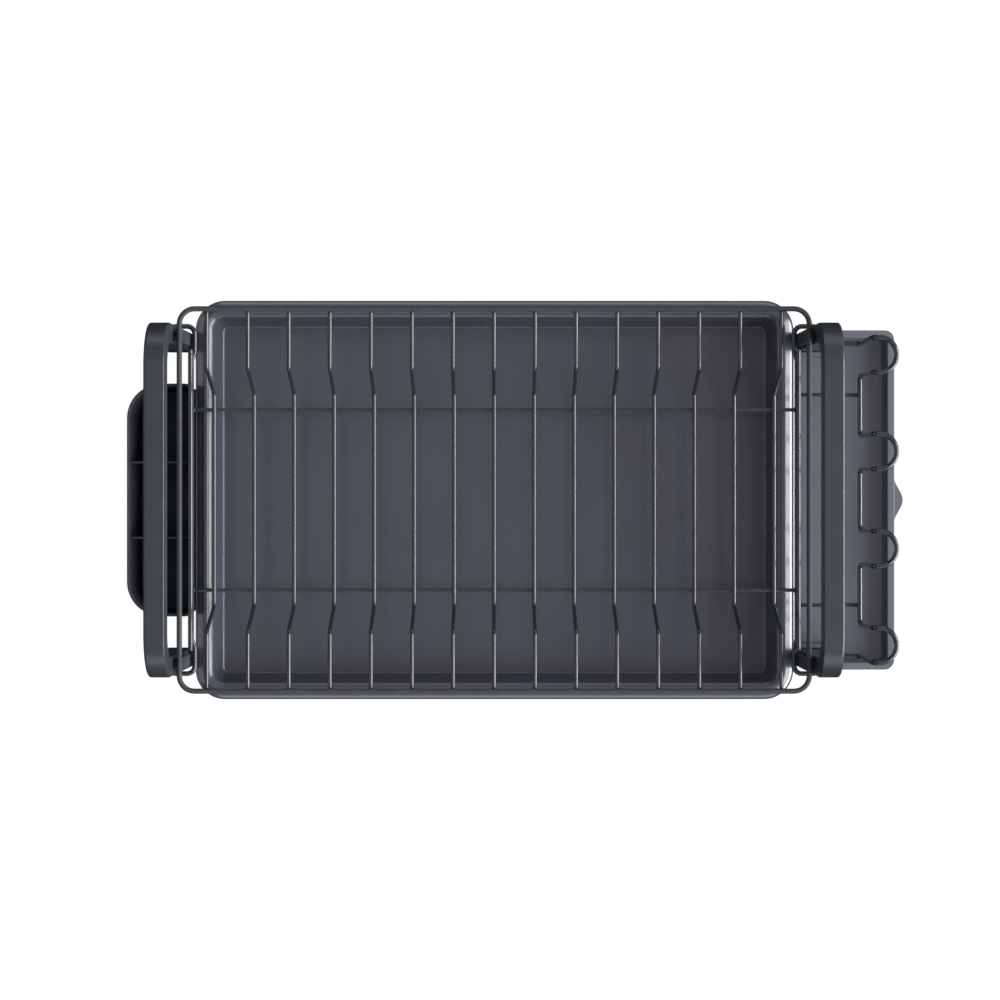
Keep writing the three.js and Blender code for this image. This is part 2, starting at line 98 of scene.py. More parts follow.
# Handles.
LEG_INNER_Y = 121.9
LEG_FLARE_TOP_Z = 128
LEG_INNER_FLARE = 1.4
LEG_OUTER_FLARE = 4
ARCH_INNER_TOP_Z = 148.1
ARCH_OUTER_RADIUS = 35.5
ARCH_INNER_RADIUS = 20
ARCH_INNER_EDGE_RADIUS = 0.8
ARCH_OUTER_EDGE_RADIUS = 2
LEG_FOOT_RADIUS = 0.7
POCKET_DEPTH = 8
POCKET_LOW_Z = 98.5
POCKET_HIGH_Z = 107
POCKET_HALF_Y = 5.7
POCKET_CORNER = 1.2
HOLE_RADIUS = 2.4
STIRRUP_HOLE_DEPTH = 5.4
HOLDER_HOLE_DEPTH = 9
PLUG_RADIUS = 3
PLUG_SIDE_GAP = 0.3
PLUG_TOP_GAP = 0.5
FOOT_CORNER = 2
FOOT_GAP = 0.3
STRIP_THICKNESS = 2
STRIP_EDGE_RADIUS = 0.6
STRIP_TONGUE_Z = 101
STRIP_TIP_Z = 105.2

# Trays and cutlery holder.
TRAY_UNDERSIDE_Z = 2.2
TRAY_FLOOR_Z = 4.2
TRAY_CORNER = 24
GLASS_NECK_HALF_Y = 121.4
GLASS_NECK_TAPER = 0.5
GLASS_SHOULDER_X = 272.5
GLASS_CORNER = 8
TAB_REACH = 6.8
TAB_HALF_Y = 19
TAB_ROOT = 3
TAB_OVERLAP = 0.2
CUTLERY_OUTER_RADIUS = 28
CUTLERY_INNER_RADIUS = 5.5
DIVIDER_Y = 30.4
DIVIDER_THICKNESS = 1.6
DIVIDER_TOP_Z = 54
DIVIDER_ROOT = 1
DIVIDER_END_INSET = 1.4
DIVIDER_CREST = 0.05
DIVIDER_CORNER = 0.02

# Glass holder.
HOLDER_DIAMETER = 4
LOOP_CENTRES_Y = (113.5, 38, -38, -113.5)
LOOP_HALF_Y = 13.7
LOOP_BEND = 13.5
LOOP_ARM_X = 296.5
HOLDER_BASE_X = 293.7
HOLDER_TIP_Y = 125.6
HOLDER_BEND = 4.5

# Floor and sky.
FLOOR_HALF_SIZE = 40000
FLOOR_GREY = 0.12
FLOOR_EMISSION = 0.95
SKY_COLOUR = (0.95, 0.97, 1, 1)
SKY_STRENGTH = 0.32
GROUND_STRENGTH = 0.02
HORIZON_BLEND = 0.1

# Softboxes, all facing LIGHT_TARGET: name, place, width and height in metres, power in watts.
LIGHT_TARGET = (0, 0, 0.05)
SOFTBOXES = (
    ("key", (9.0, -2.0, 4.8), 13.0, 8.6, 3900),
    ("low_key", (10.0, -1.5, 2.3), 13.0, 3.6, 1600),
    ("front", (0.5, -5.0, 1.5), 5.0, 2.0, 95),
    ("back", (0.5, 5.0, 1.5), 5.0, 2.0, 70),
    ("top", (0, 0, 3.2), 4.4, 4.4, 28),
    ("fill", (-6.0, 0.2, 2.4), 8.0, 3.5, 130),
)

# Camera, in metres, and its lens and sensor in millimetres.
CAMERA_X = 0.00444
CAMERA_HEIGHT = 2.0
LENS = 86.94
SENSOR_WIDTH = 36

# Noise mostly lies between these two values.
NOISE_LOW = 0.3
NOISE_HIGH = 0.7


# ---- Places taken from the CAD frame ----


def cad_box(node):
    """(lowest corner, highest corner) of a CAD node, in millimetres."""
    low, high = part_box(node)
    return low / MM, high / MM


def cad_centre(node):
    low, high = cad_box(node)
    return (low + high) / 2


# ---- Shapes: a shell is a list of points and a list of faces ----


def corner_arc(before, corner, after, radius, segments):
    """Points along the arc that rounds the corner between three points."""
    back = (before - corner).normalized()
    ahead = (after - corner).normalized()
    angle = back.angle(ahead)
    start = corner + back * (radius / math.tan(angle / 2))
    centre = corner + (back + ahead).normalized() * (radius / math.sin(angle / 2))
    spoke = start - centre
    tangent = back * -radius
    turns = [(math.pi - angle) * i / segments for i in range(segments + 1)]
    return [centre + spoke * math.cos(turn) + tangent * math.sin(turn) for turn in turns]


def rounded(corners, radii, segments, closed=False):
    """A polyline whose corners are rounded. radii is one radius, or one for each corner."""
    count = len(corners)
    if not isinstance(radii, (list, tuple)):
        radii = [radii] * count
    points = []
    for i, corner in enumerate(corners):
        is_end = not closed and i in (0, count - 1)
        if is_end or radii[i] == 0:
            points.append(corner.copy())
        else:
            after = corners[(i + 1) % count]
            points += corner_arc(corners[i - 1], corner, after, radii[i], segments)
    return points


def merged(*shells):
    """One shell made of several."""
    points, faces = [], []
    for shell_points, shell_faces in shells:
        offset = len(points)
        points += shell_points
        faces += [tuple(offset + i for i in face) for face in shell_faces]
    return points, faces


def transformed(shell, matrix):
    points, faces = shell
    return [matrix @ p for p in points], faces


def rings_to_shell(rings, closed=False):
    """Shell through a row of rings, closed into a loop or capped at both ends."""
    size = len(rings[0])
    points = [p for ring in rings for p in ring]
    faces = []
    for row in range(len(rings) if closed else len(rings) - 1):
        low = row * size
        high = (row + 1) % len(rings) * size
        for i in range(size):
            j = (i + 1) % size
            faces.append((low + i, low + j, high + j, high + i))
    if not closed:
        faces.append(tuple(reversed(range(size))))
        faces.append(tuple(range(len(points) - size, len(points))))
    return points, faces


def path_directions(path, closed):
    """Direction of travel at each point of a path."""
    count = len(path)
    steps = [(path[(i + 1) % count] - path[i]).normalized() for i in range(count)]
    directions = []
    for i in range(count):
        before = steps[i - 1] if closed or i else steps[0]
        after = steps[i] if closed or i < count - 1 else steps[i - 1]
        directions.append((before + after).normalized())
    return directions


def sweep(path, section, closed=False, side=None, scales=None):
    """Shell of a section carried along a path without twisting.

    The section holds (along side, across) pairs, and scales one factor for each point of the path.
    """
    directions = path_directions(path, closed)
    if side is None:
        side = directions[0].orthogonal().normalized()
    rings = []
    for i, centre in enumerate(path):
        if i:
            side = directions[i - 1].rotation_difference(directions[i]) @ side
        across = directions[i].cross(side)
        scale = scales[i] if scales else 1
        rings.append([centre + (side * a + across * b) * scale for a, b in section])
    return rings_to_shell(rings, closed)


def circle(radius, sides):
    turns = [2 * math.pi * i / sides for i in range(sides)]
    return [(radius * math.cos(turn), radius * math.sin(turn)) for turn in turns]


def wire(corners, diameter, bend=0, closed=False):
    """Round wire bent along its corners. Its cut ends are slightly rounded over."""
    radius = diameter / 2
    path = rounded(corners, bend, BEND_SEGMENTS, closed)
    section = circle(radius, WIRE_SIDES)
    if closed:
        return sweep(path, section, closed=True)
    into_start = (path[1] - path[0]).normalized() * radius
    into_finish = (path[-2] - path[-1]).normalized() * radius
    start = [path[0] + into_start * depth for depth, _ in CUT_END]
    finish = [path[-1] + into_finish * depth for depth, _ in reversed(CUT_END)]
    grow = [scale for _, scale in CUT_END]
    scales = grow + [1] * (len(path) - 2) + grow[::-1]
    return sweep(start + path[1:-1] + finish, section, scales=scales)


def rounded_profile(corners):
    """Profile of (inset, height) pairs from (inset, height, fillet radius) corners."""
    points = [Vector((inset, height, 0)) for inset, height, _ in corners]
    radii = [radius for _, _, radius in corners]
    return [(p.x, p.y) for p in rounded(points, radii, FILLET_SEGMENTS)]


def loft(outline_at, profile):
    """Shell through a stack of outlines. outline_at(inset) is an outline, drawn in by inset."""
    return rings_to_shell(
        [[Vector((p.x, p.y, height)) for p in outline_at(inset)] for inset, height in profile]
    )


def rectangle_outline(low_x, high_x, low_y, high_y, radii):
    """Outline of a rectangle, counter-clockwise from its lower left corner, with rounded corners."""
    corners = [
        Vector((low_x, low_y, 0)),
        Vector((high_x, low_y, 0)),
        Vector((high_x, high_y, 0)),
        Vector((low_x, high_y, 0)),
    ]
    return rounded(corners, radii, OUTLINE_SEGMENTS, closed=True)


def disc_outline(x, y, radius):
    return [Vector((x + a, y + b, 0)) for a, b in circle(radius, DISC_SIDES)]


def bead(centre, half_size):
    """Lump of weld metal."""
    half_x, half_y, half_z = half_size
    rings = []
    for row in range(1, BEAD_ROWS):
        lift = math.pi * (row / BEAD_ROWS - 0.5)
        level = centre + Vector((0, 0, half_z * math.sin(lift)))
        reach = math.cos(lift)
        rings.append([
            level + Vector((half_x * a * reach, half_y * b * reach, 0))
            for a, b in circle(1, BEAD_COLUMNS)
        ])
    return rings_to_shell(rings)


# ---- Objects ----


def make_mesh(name, shell):
    points, faces = shell
    mesh = bpy.data.meshes.new(name)
    mesh.from_pydata([p * MM for p in points], [], faces)
    mesh.update()
    return mesh


def make_object(name, shell):
    made = bpy.data.objects.new(name, make_mesh(name, shell))
    bpy.context.scene.collection.objects.link(made)
    return made


def combine(target, shell, operation):
    """Joins a shell to an object, or cuts it away, and leaves one clean mesh."""
    tool = make_object("tool", shell)
    modifier = target.modifiers.new("combine", "BOOLEAN")
    modifier.operation = operation
    modifier.solver = "EXACT"
    modifier.object = tool
    bpy.context.view_layer.update()
    evaluated = target.evaluated_get(bpy.context.evaluated_depsgraph_get())
    result = bpy.data.meshes.new_from_object(evaluated)
    target.modifiers.remove(modifier)
    target.data = result
    bpy.data.objects.remove(tool)


def finish_piece(piece, material, body, slot, *nodes):
    """Smooth shading, material, and what the piece is in the frame."""
    mesh = piece.data
    mesh.materials.clear()
    mesh.materials.append(material)
    mesh.shade_smooth()
    mesh.set_sharp_from_angle(angle=SHARP_ANGLE)
    weighted = piece.modifiers.new("weighted_normals", "WEIGHTED_NORMAL")
    weighted.keep_sharp = True
    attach(piece, body)
    if nodes:
        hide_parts(*nodes)
    return piece


# ---- Materials ----


def linear(hex_colour):
    """Linear colour from a screen colour such as 0x42484b."""
    channels = [(hex_colour >> shift & 255) / 255 for shift in (16, 8, 0)]
    return [c / 12.92 if c <= 0.04045 else ((c + 0.055) / 1.055) ** 2.4 for c in channels] + [1]


def new_material(name, specular=0.5):
    material = bpy.data.materials.new(name)
    material.use_nodes = True
    shader = material.node_tree.nodes["Principled BSDF"]
    shader.inputs["Specular IOR Level"].default_value = specular
    return material, material.node_tree, shader


def noise(tree, size, detail=2.0):
    """Noise whose blotches are about size millimetres across."""
    place = tree.nodes.new("ShaderNodeTexCoord")
    texture = tree.nodes.new("ShaderNodeTexNoise")
    texture.inputs["Scale"].default_value = 1 / (size * MM)
    texture.inputs["Detail"].default_value = detail
    tree.links.new(place.outputs["Object"], texture.inputs["Vector"])
    return texture.outputs["Fac"]


def spread(tree, source, low, high):
    """Maps noise onto low to high."""
    ranged = tree.nodes.new("ShaderNodeMapRange")
    ranged.inputs["From Min"].default_value = NOISE_LOW
    ranged.inputs["From Max"].default_value = NOISE_HIGH
    ranged.inputs["To Min"].default_value = low
    ranged.inputs["To Max"].default_value = high
    tree.links.new(source, ranged.inputs["Value"])
    return ranged.outputs["Result"]


def mottle(tree, shader, size, dark, light):
    """Base colour that drifts between two close colours."""
    ramp = tree.nodes.new("ShaderNodeValToRGB")
    ramp.color_ramp.elements[0].position = NOISE_LOW
    ramp.color_ramp.elements[0].color = linear(dark)
    ramp.color_ramp.elements[1].position = NOISE_HIGH
    ramp.color_ramp.elements[1].color = linear(light)
    tree.links.new(noise(tree, size, detail=4.0), ramp.inputs["Fac"])
    tree.links.new(ramp.outputs["Color"], shader.inputs["Base Color"])


def relief(tree, shader, layers):
    """Surface relief from (grain size, depth) layers, both in millimetres."""
    normal = None
    for size, depth in layers:
        bump = tree.nodes.new("ShaderNodeBump")
        bump.inputs["Distance"].default_value = depth * MM
        tree.links.new(noise(tree, size), bump.inputs["Height"])
        if normal:
            tree.links.new(normal, bump.inputs["Normal"])
        normal = bump.outputs["Normal"]
    tree.links.new(normal, shader.inputs["Normal"])


def glossy_coat():
    """Powder coat on the thin wires: dark, fairly glossy, with a faint orange peel."""
    material, tree, shader = new_material("glossy_coat")
    mottle(tree, shader, 6, 0x171A1D, 0x1C2023)
    tree.links.new(spread(tree, noise(tree, 1.5), 0.12, 0.18), shader.inputs["Roughness"])
    relief(tree, shader, [(0.9, 0.002)])
    return material


def matt_coat():
    """Powder coat on the frame ring, the brackets and the basket's welds: lighter and matt."""
    material, tree, shader = new_material("matt_coat", specular=0.15)
    mottle(tree, shader, 8, 0x272A2D, 0x2D3134)
    tree.links.new(spread(tree, noise(tree, 2), 0.62, 0.72), shader.inputs["Roughness"])
    relief(tree, shader, [(0.5, 0.02)])
    return material


def handle_plastic():
    """Moulded handle plastic with a fine spark-eroded grain."""
    material, tree, shader = new_material("handle_plastic", specular=0.35)
    mottle(tree, shader, 14, 0x1F2326, 0x23272B)
    tree.links.new(spread(tree, noise(tree, 3), 0.32, 0.38), shader.inputs["Roughness"])
    relief(tree, shader, [(0.35, 0.012), (0.9, 0.012)])
    return material


def tray_plastic(name, dark, light):
    """Slate-coloured moulded tray, semi-gloss, with the slight waviness of a large moulding."""
    material, tree, shader = new_material(name, specular=0.5)
    mottle(tree, shader, 60, dark, light)
    tree.links.new(spread(tree, noise(tree, 25, detail=5.0), 0.18, 0.21), shader.inputs["Roughness"])
    relief(tree, shader, [(60, 0.02), (0.6, 0.002)])
    return material


def cutlery_plastic():
    """Near-black satin plastic of the cutlery holder."""
    material, tree, shader = new_material("cutlery_plastic", specular=0.12)
    mottle(tree, shader, 20, 0x212327, 0x25272C)
    tree.links.new(spread(tree, noise(tree, 4), 0.46, 0.55), shader.inputs["Roughness"])
    relief(tree, shader, [(0.4, 0.01)])
    return material


def rubber():
    """Black rubber of the feet and pads, quite matt."""
    material, tree, shader = new_material("rubber", specular=0.25)
    mottle(tree, shader, 3, 0x141516, 0x1B1C1D)
    tree.links.new(spread(tree, noise(tree, 1), 0.75, 0.9), shader.inputs["Roughness"])
    relief(tree, shader, [(0.3, 0.02)])
    return material


GLOSSY_COAT = glossy_coat()
MATT_COAT = matt_coat()
HANDLE_PLASTIC = handle_plastic()
DRIP_TRAY_PLASTIC = tray_plastic("drip_tray_plastic", 0x2F3138, 0x32343D)
GLASS_TRAY_PLASTIC = tray_plastic("glass_tray_plastic", 0x44474E, 0x484B52)
CUTLERY_PLASTIC = cutlery_plastic()
RUBBER = rubber()


def add_wire(node, body, shell, material=GLOSSY_COAT):
    piece = make_object(f"{node}_detailed", shell)
    return finish_piece(piece, material, body, "coated_wire", node)


# ---- Basket ----


def add_top_frame():
    low, high = cad_box("top_frame")
    diameter = high.z - low.z
    z = (low.z + high.z) / 2
    half_x = high.x - diameter / 2
    half_y = high.y - diameter / 2
    corners = [
        Vector((x, y, z))
        for x, y in ((-half_x, -half_y), (half_x, -half_y), (half_x, half_y), (-half_x, half_y))
    ]
    add_wire("top_frame", "rack", wire(corners, diameter, RING_CORNER, closed=True), MATT_COAT)


def add_cross_wires():
    """Each cross wire hangs from both long sides of the ring and steps down to carry the plates."""
    for number in range(1, CROSS_WIRE_COUNT + 1):
        node = f"cross_wire_{number:02d}"
        low, high = cad_box(node)
        diameter = high.x - low.x
        x = (low.x + high.x) / 2
        low_z = low.z + diameter / 2
        top_z = high.z - diameter / 2
        half = [
            Vector((x, low.y, top_z)),
            Vector((x, -DROP_TOP_Y, top_z)),
            Vector((x, -DROP_FOOT_Y, low_z)),
        ]
        corners = half + [Vector((p.x, -p.y, p.z)) for p in reversed(half)]
        add_wire(node, "rack", wire(corners, diameter, CROSS_WIRE_BEND))


def add_straight_wire(node, body):
    """Wire that fills its CAD box from end to end."""
    low, high = cad_box(node)
    centre = (low + high) / 2
    half = (high - low) / 2
    reach = Vector((half.x, 0, 0)) if half.x > half.y else Vector((0, half.y, 0))
    add_wire(node, body, wire([centre - reach, centre + reach], 2 * half.z))


def add_stirrups():
    """A stirrup runs under the end wire, passes round the outside of both legs and springs into them."""
    for side, sign in SIDES:
        node = f"stirrup_wire_{side}"
        low, high = cad_box(node)
        diameter = high.z - low.z
        z = (low.z + high.z) / 2
        near = min(abs(low.x), abs(high.x)) + diameter / 2
        run_x = cad_centre(f"end_wire_{side}").x * sign - STIRRUP_RUN_INSET
        leg_x = cad_centre(f"handle_foot_{side}_back").x * sign
        outer_y = high.y - diameter / 2
        half = [
            (leg_x, STIRRUP_TIP_Y, 0),
            (leg_x, outer_y, STIRRUP_TIP_BEND),
            (near, outer_y, STIRRUP_OUTER_BEND),
            (near, STIRRUP_JOG_END_Y, STIRRUP_BEND),
            (run_x, STIRRUP_JOG_START_Y, STIRRUP_BEND),
        ]
        whole = half + [(x, -y, radius) for x, y, radius in reversed(half)]
        corners = [Vector((sign * x, y, z)) for x, y, _ in whole]
        radii = [radius for _, _, radius in whole]
        add_wire(node, "rack", wire(corners, diameter, radii))


def strip_section(width, thickness, edge):
    """Flat strip with rounded edges, wide along the first axis."""
    outline = rectangle_outline(-width / 2, width / 2, -thickness / 2, thickness / 2, edge)
    return [(p.x, p.y) for p in outline]


def add_brackets():
    """Each bracket hangs from the ring, with a tongue hooked into the pocket of a leg."""
    for side, sign in SIDES:
        for end, _ in ENDS:
            node = f"leg_bracket_{side}_{end}"
            low, high = cad_box(node)
            half = STRIP_THICKNESS / 2
            near = min(abs(low.x), abs(high.x)) + half
            far = max(abs(low.x), abs(high.x)) - half
            y = (low.y + high.y) / 2
            section = strip_section(high.y - low.y, STRIP_THICKNESS, STRIP_EDGE_RADIUS)
            hanger = [Vector((sign * near, y, z)) for z in (high.z, low.z)]
            profile = ((near, STRIP_TONGUE_Z), (far, STRIP_TONGUE_Z), (far, STRIP_TIP_Z))
            corners = [Vector((sign * x, y, z)) for x, z in profile]
            tongue = rounded(corners, STRIP_THICKNESS, BEND_SEGMENTS)
            across = Vector((0, 1, 0))
            piece = make_object(f"{node}_detailed", sweep(hanger, section, side=across))
            combine(piece, sweep(tongue, section, side=across), "UNION")
            finish_piece(piece, MATT_COAT, "rack", "coated_wire", node)


def cross_wire_welds():
    """Each cross wire is welded under the ring and on top of both support wires."""
    ring_low, ring_high = cad_box("top_frame")
    ring_y = ring_high.y - (ring_high.z - ring_low.z) / 2
    support_top = cad_box("support_wire_front")[1].z
    support_y = cad_centre("support_wire_back").y
    beads = []
    for number in range(1, CROSS_WIRE_COUNT + 1):
        x = cad_centre(f"cross_wire_{number:02d}").x
        for sign in (-1, 1):
            beads.append(bead(Vector((x, sign * ring_y, ring_low.z)), RING_WELD))
            beads.append(bead(Vector((x, sign * support_y, support_top)), SUPPORT_WELD))
    return beads


def end_welds(side, sign):
    """Welds of an end wire to the support wires and the stirrup, and of the brackets to the ring."""
    ring_low, ring_high = cad_box("top_frame")
    low, high = cad_box(f"end_wire_{side}")
    inner_x = sign * min(abs(low.x), abs(high.x))
    stirrup_x = (low.x + high.x) / 2 - sign * STIRRUP_WELD_SHIFT
    bracket_x = sign * (ring_high.x - BRACKET_WELD_INSET)
    beads = []
    for end, end_sign in ENDS:
        support = cad_centre(f"support_wire_{end}")
        bracket_y = cad_centre(f"leg_bracket_{side}_{end}").y
        beads.append(bead(Vector((inner_x, support.y, support.z + END_WELD_LIFT)), END_WELD))
        for y in STIRRUP_WELD_YS:
            beads.append(bead(Vector((stirrup_x, end_sign * y, low.z)), STIRRUP_WELD))
        beads.append(bead(Vector((bracket_x, bracket_y, ring_low.z)), BRACKET_WELD))
    return beads


def add_rack_welds():
    """Weld metal where the wires of the basket cross or meet."""
    beads = cross_wire_welds()
    for side, sign in SIDES:
        beads += end_welds(side, sign)
    piece = make_object("rack_welds", merged(*beads))
    finish_piece(piece, MATT_COAT, "rack", "coated_wire")


# ---- Handles ----


def arch_stations(outer_y, foot_z, top_z):
    """(outer point, inner point, shrink) along the arch, from one foot to the other, as (y, z) points."""
    foot = []
    for i in range(FOOT_SEGMENTS + 1):
        turn = math.pi / 2 * i / FOOT_SEGMENTS
        shrink = LEG_FOOT_RADIUS * (1 - math.sin(turn))
        z = foot_z + LEG_FOOT_RADIUS * (1 - math.cos(turn))
        foot.append((Vector((outer_y, z, 0)), Vector((LEG_INNER_Y, z, 0)), shrink))
    segments = 2 * OUTLINE_SEGMENTS
    shoulder_outer = corner_arc(
        Vector((outer_y, foot_z, 0)), Vector((outer_y, top_z, 0)), Vector((0, top_z, 0)),
        ARCH_OUTER_RADIUS, segments,
    )
    inner_top = ARCH_INNER_TOP_Z
    shoulder_inner = corner_arc(
        Vector((LEG_INNER_Y, foot_z, 0)), Vector((LEG_INNER_Y, inner_top, 0)), Vector((0, inner_top, 0)),
        ARCH_INNER_RADIUS, segments,
    )
    half = foot + [(a, b, 0) for a, b in zip(shoulder_outer, shoulder_inner)]
    other = [(Vector((-a.x, a.y, 0)), Vector((-b.x, b.y, 0)), shrink) for a, b, shrink in reversed(half)]
    return half + other


def arch_shell():
    """Body of the right handle: a section with rounded edges carried along the arch."""
    low, high = cad_box("handle_right")
    rings = []
    for outer, inner, shrink in arch_stations(high.y, low.z, high.z):
        width = (inner - outer).length
        inward = (inner - outer).normalized()
        near = ARCH_INNER_EDGE_RADIUS - shrink
        far = ARCH_OUTER_EDGE_RADIUS - shrink
        height = min(outer.y, LEG_FLARE_TOP_Z)
        spread_share = (LEG_FLARE_TOP_Z - height) / (LEG_FLARE_TOP_Z - low.z)
        near_x = low.x + LEG_INNER_FLARE * (1 - spread_share) + shrink
        far_x = high.x - LEG_OUTER_FLARE * (1 - spread_share) - shrink
        outline = rectangle_outline(near_x, far_x, shrink, width - shrink, [near, far, far, near])
        ring = []
        for p in outline:
            place = outer + inward * p.y
            ring.append(Vector((p.x, place.x, place.y)))
        rings.append(ring)
    return rings_to_shell(rings)


def recess(outline_at, depth):
    """Cutter with a rounded mouth, from just outside the surface at height 0 down to depth."""
    return loft(outline_at, [*ROUNDED_MOUTH, (0, depth)])


def hole_cutter(centre, direction, radius, depth):
    """Round hole that goes into a surface at centre, along direction."""
    shell = recess(lambda inset: disc_outline(0, 0, radius - inset), depth)
    turn = Vector((0, 0, 1)).rotation_difference(direction).to_matrix().to_4x4()
    return transformed(shell, Matrix.Translation(centre) @ turn)


def pocket_cutter(centre, depth):
    """Upright slot that goes into the leg along +X."""
    half_y = POCKET_HALF_Y
    half_z = (POCKET_HIGH_Z - POCKET_LOW_Z) / 2

    def outline(inset):
        corner = POCKET_CORNER - inset / 2
        return rectangle_outline(-half_y + inset, half_y - inset, -half_z + inset, half_z - inset, corner)

    to_leg = Matrix(((0, 0, 1, 0), (1, 0, 0, 0), (0, 1, 0, 0), (0, 0, 0, 1)))
    return transformed(recess(outline, depth), Matrix.Translation(centre) @ to_leg)


def leg_cutters(sign):
    """Pocket for the bracket, and the holes for the stirrup, the glass holder and the foot's plug."""
    low, high = cad_box("handle_right")
    stirrup_z = cad_centre("stirrup_wire_right").z
    foot = cad_centre("handle_foot_right_back")
    flare_share = (LEG_FLARE_TOP_Z - stirrup_z) / (LEG_FLARE_TOP_Z - low.z)
    pocket = Vector((
        low.x + LEG_INNER_FLARE,
        sign * cad_centre("leg_bracket_right_back").y,
        (POCKET_LOW_Z + POCKET_HIGH_Z) / 2,
    ))
    stirrup_hole = Vector((foot.x, sign * high.y, stirrup_z))
    holder_hole = Vector((high.x - LEG_OUTER_FLARE * (1 - flare_share), sign * HOLDER_TIP_Y, stirrup_z))
    plug_hole = Vector((foot.x, sign * foot.y, low.z))
    plug_depth = cad_box("handle_foot_right_back")[1].z + PLUG_TOP_GAP - low.z
    return [
        pocket_cutter(pocket, POCKET_DEPTH),
        hole_cutter(stirrup_hole, Vector((0, -sign, 0)), HOLE_RADIUS, STIRRUP_HOLE_DEPTH),
        hole_cutter(holder_hole, Vector((-1, 0, 0)), HOLE_RADIUS, HOLDER_HOLE_DEPTH),
        hole_cutter(plug_hole, Vector((0, 0, 1)), PLUG_RADIUS + PLUG_SIDE_GAP, plug_depth),
    ]


def add_handles():
    """Both handles are the same moulding, the left one turned half way round."""
    right = make_object("handle_right_detailed", arch_shell())
    for sign in (-1, 1):
        for cutter in leg_cutters(sign):
            combine(right, cutter, "DIFFERENCE")
    left = bpy.data.objects.new("handle_left_detailed", right.data.copy())
    left.data.transform(Matrix.Rotation(math.pi, 4, "Z"))
    bpy.context.scene.collection.objects.link(left)
    finish_piece(right, HANDLE_PLASTIC, "rack", "handle_plastic", "handle_right")
    finish_piece(left, HANDLE_PLASTIC, "rack", "handle_plastic", "handle_left")


def foot_sole(low, high, top_z):
    """Rectangular sole with rounded edges and a shallow dished underside."""
    profile = rounded_profile([
        (4, 0.3, 0),
        (2.2, 0.3, 0.1),
        (2, 0, 0.1),
        (0, 0, 0.8),
        (0, top_z, 0.4),
        (3.5, top_z, 0),
    ])

    def outline(inset):
        corner = max(FOOT_CORNER - inset / 2, 0.2)
        return rectangle_outline(low.x + inset, high.x - inset, low.y + inset, high.y - inset, corner)

    return loft(outline, profile)


def foot_plug(centre, top_z):
    """Round plug with rounded ends."""
    profile = rounded_profile([(2, 1, 0), (0, 1, 0.2), (0, top_z, 0.8), (2, top_z, 0)])
    return loft(lambda inset: disc_outline(centre.x, centre.y, PLUG_RADIUS - inset), profile)


def add_handle_feet():
    """Rubber foot under each leg: a sole and a plug pushed up into the leg."""
    for side, _ in SIDES:
        sole_top = cad_box(f"handle_{side}")[0].z - FOOT_GAP
        for end, _ in ENDS:
            node = f"handle_foot_{side}_{end}"
            low, high = cad_box(node)
            piece = make_object(f"{node}_detailed", foot_sole(low, high, sole_top))
            combine(piece, foot_plug((low + high) / 2, high.z), "UNION")
            finish_piece(piece, RUBBER, "rack", "rubber", node)


# ---- Trays ----


def add_pads(prefix, count, body):
    """Round rubber pads with a rounded rim and a shallow dished sole."""
    for number in range(1, count + 1):
        node = f"{prefix}_pad_{number}"
        low, high = cad_box(node)
        x, y = (low.x + high.x) / 2, (low.y + high.y) / 2
        radius = (high.x - low.x) / 2
        profile = rounded_profile([
            (6, 0.5, 0),
            (3, 0.5, 0.3),
            (2.4, 0, 0.3),
            (0, 0, 0.6),
            (0, high.z, 0.5),
            (6, high.z, 0),
        ])
        shell = loft(lambda inset: disc_outline(x, y, radius - inset), profile)
        piece = make_object(f"{node}_detailed", shell)
        finish_piece(piece, RUBBER, body, "rubber", node)


def add_drip_tray():
    """One thin shell: floor, steep walls, a double crest, a sloping flange and a small lip."""
    low, high = cad_box("drip_tray")
    rim = high.z

    def outline(inset):
        corner = TRAY_CORNER - inset
        return rectangle_outline(low.x + inset, high.x - inset, low.y + inset, high.y - inset, corner)

    underside = [
        (22, TRAY_UNDERSIDE_Z, 0),
        (17.4, TRAY_UNDERSIDE_Z, 3.8),
        (12, rim - 3.6, 1),
        (7.2, rim - 2.2, 1),
        (1.3, rim - 6, 0.5),
    ]
    lip = [
        (0.7, rim - 7, 0.3),
        (0, rim - 6.6, 0.3),
        (0, rim - 3.7, 0.35),
        (0.8, rim - 3.7, 0.25),
        (1.1, rim - 4, 0.15),
    ]
    flange = [
        (3.1, rim - 2.5, 0.6),
        (6.5, rim - 0.8, 0.5),
    ]
    crest = [
        (7.1, rim, 0.5),
        (9.9, rim, 1),
        (10.3, rim - 0.5, 0.2),
        (13.9, rim - 1.6, 5.5),
    ]
    floor = [
        (19.3, TRAY_FLOOR_Z, 1.2),
        (22, TRAY_FLOOR_Z, 0),
    ]
    profile = rounded_profile(underside + lip + flange + crest + floor)
    piece = make_object("drip_tray_detailed", loft(outline, profile))
    finish_piece(piece, DRIP_TRAY_PLASTIC, "drip_tray", "tray_plastic", "drip_tray")
    add_pads("drip_tray", 5, "drip_tray")


def glass_tray_outline(low, high, tab_free_x, inset):
    """A wide outer basin with a narrower neck that passes between the legs."""
    left = low.x + inset
    neck_y = GLASS_NECK_HALF_Y - GLASS_NECK_TAPER * inset
    shoulder = GLASS_SHOULDER_X + inset
    right = tab_free_x - inset
    wide_y = high.y - inset
    convex = max(GLASS_CORNER - inset / 2, 2)
    concave = 1 + inset
    half = [
        (left, neck_y, convex),
        (shoulder, neck_y, concave),
        (shoulder, wide_y, convex),
        (right, wide_y, convex),
    ]
    whole = [(x, -y, radius) for x, y, radius in half] + half[::-1]
    corners = [Vector((x, y, 0)) for x, y, _ in whole]
    return rounded(corners, [radius for _, _, radius in whole], OUTLINE_SEGMENTS, closed=True)


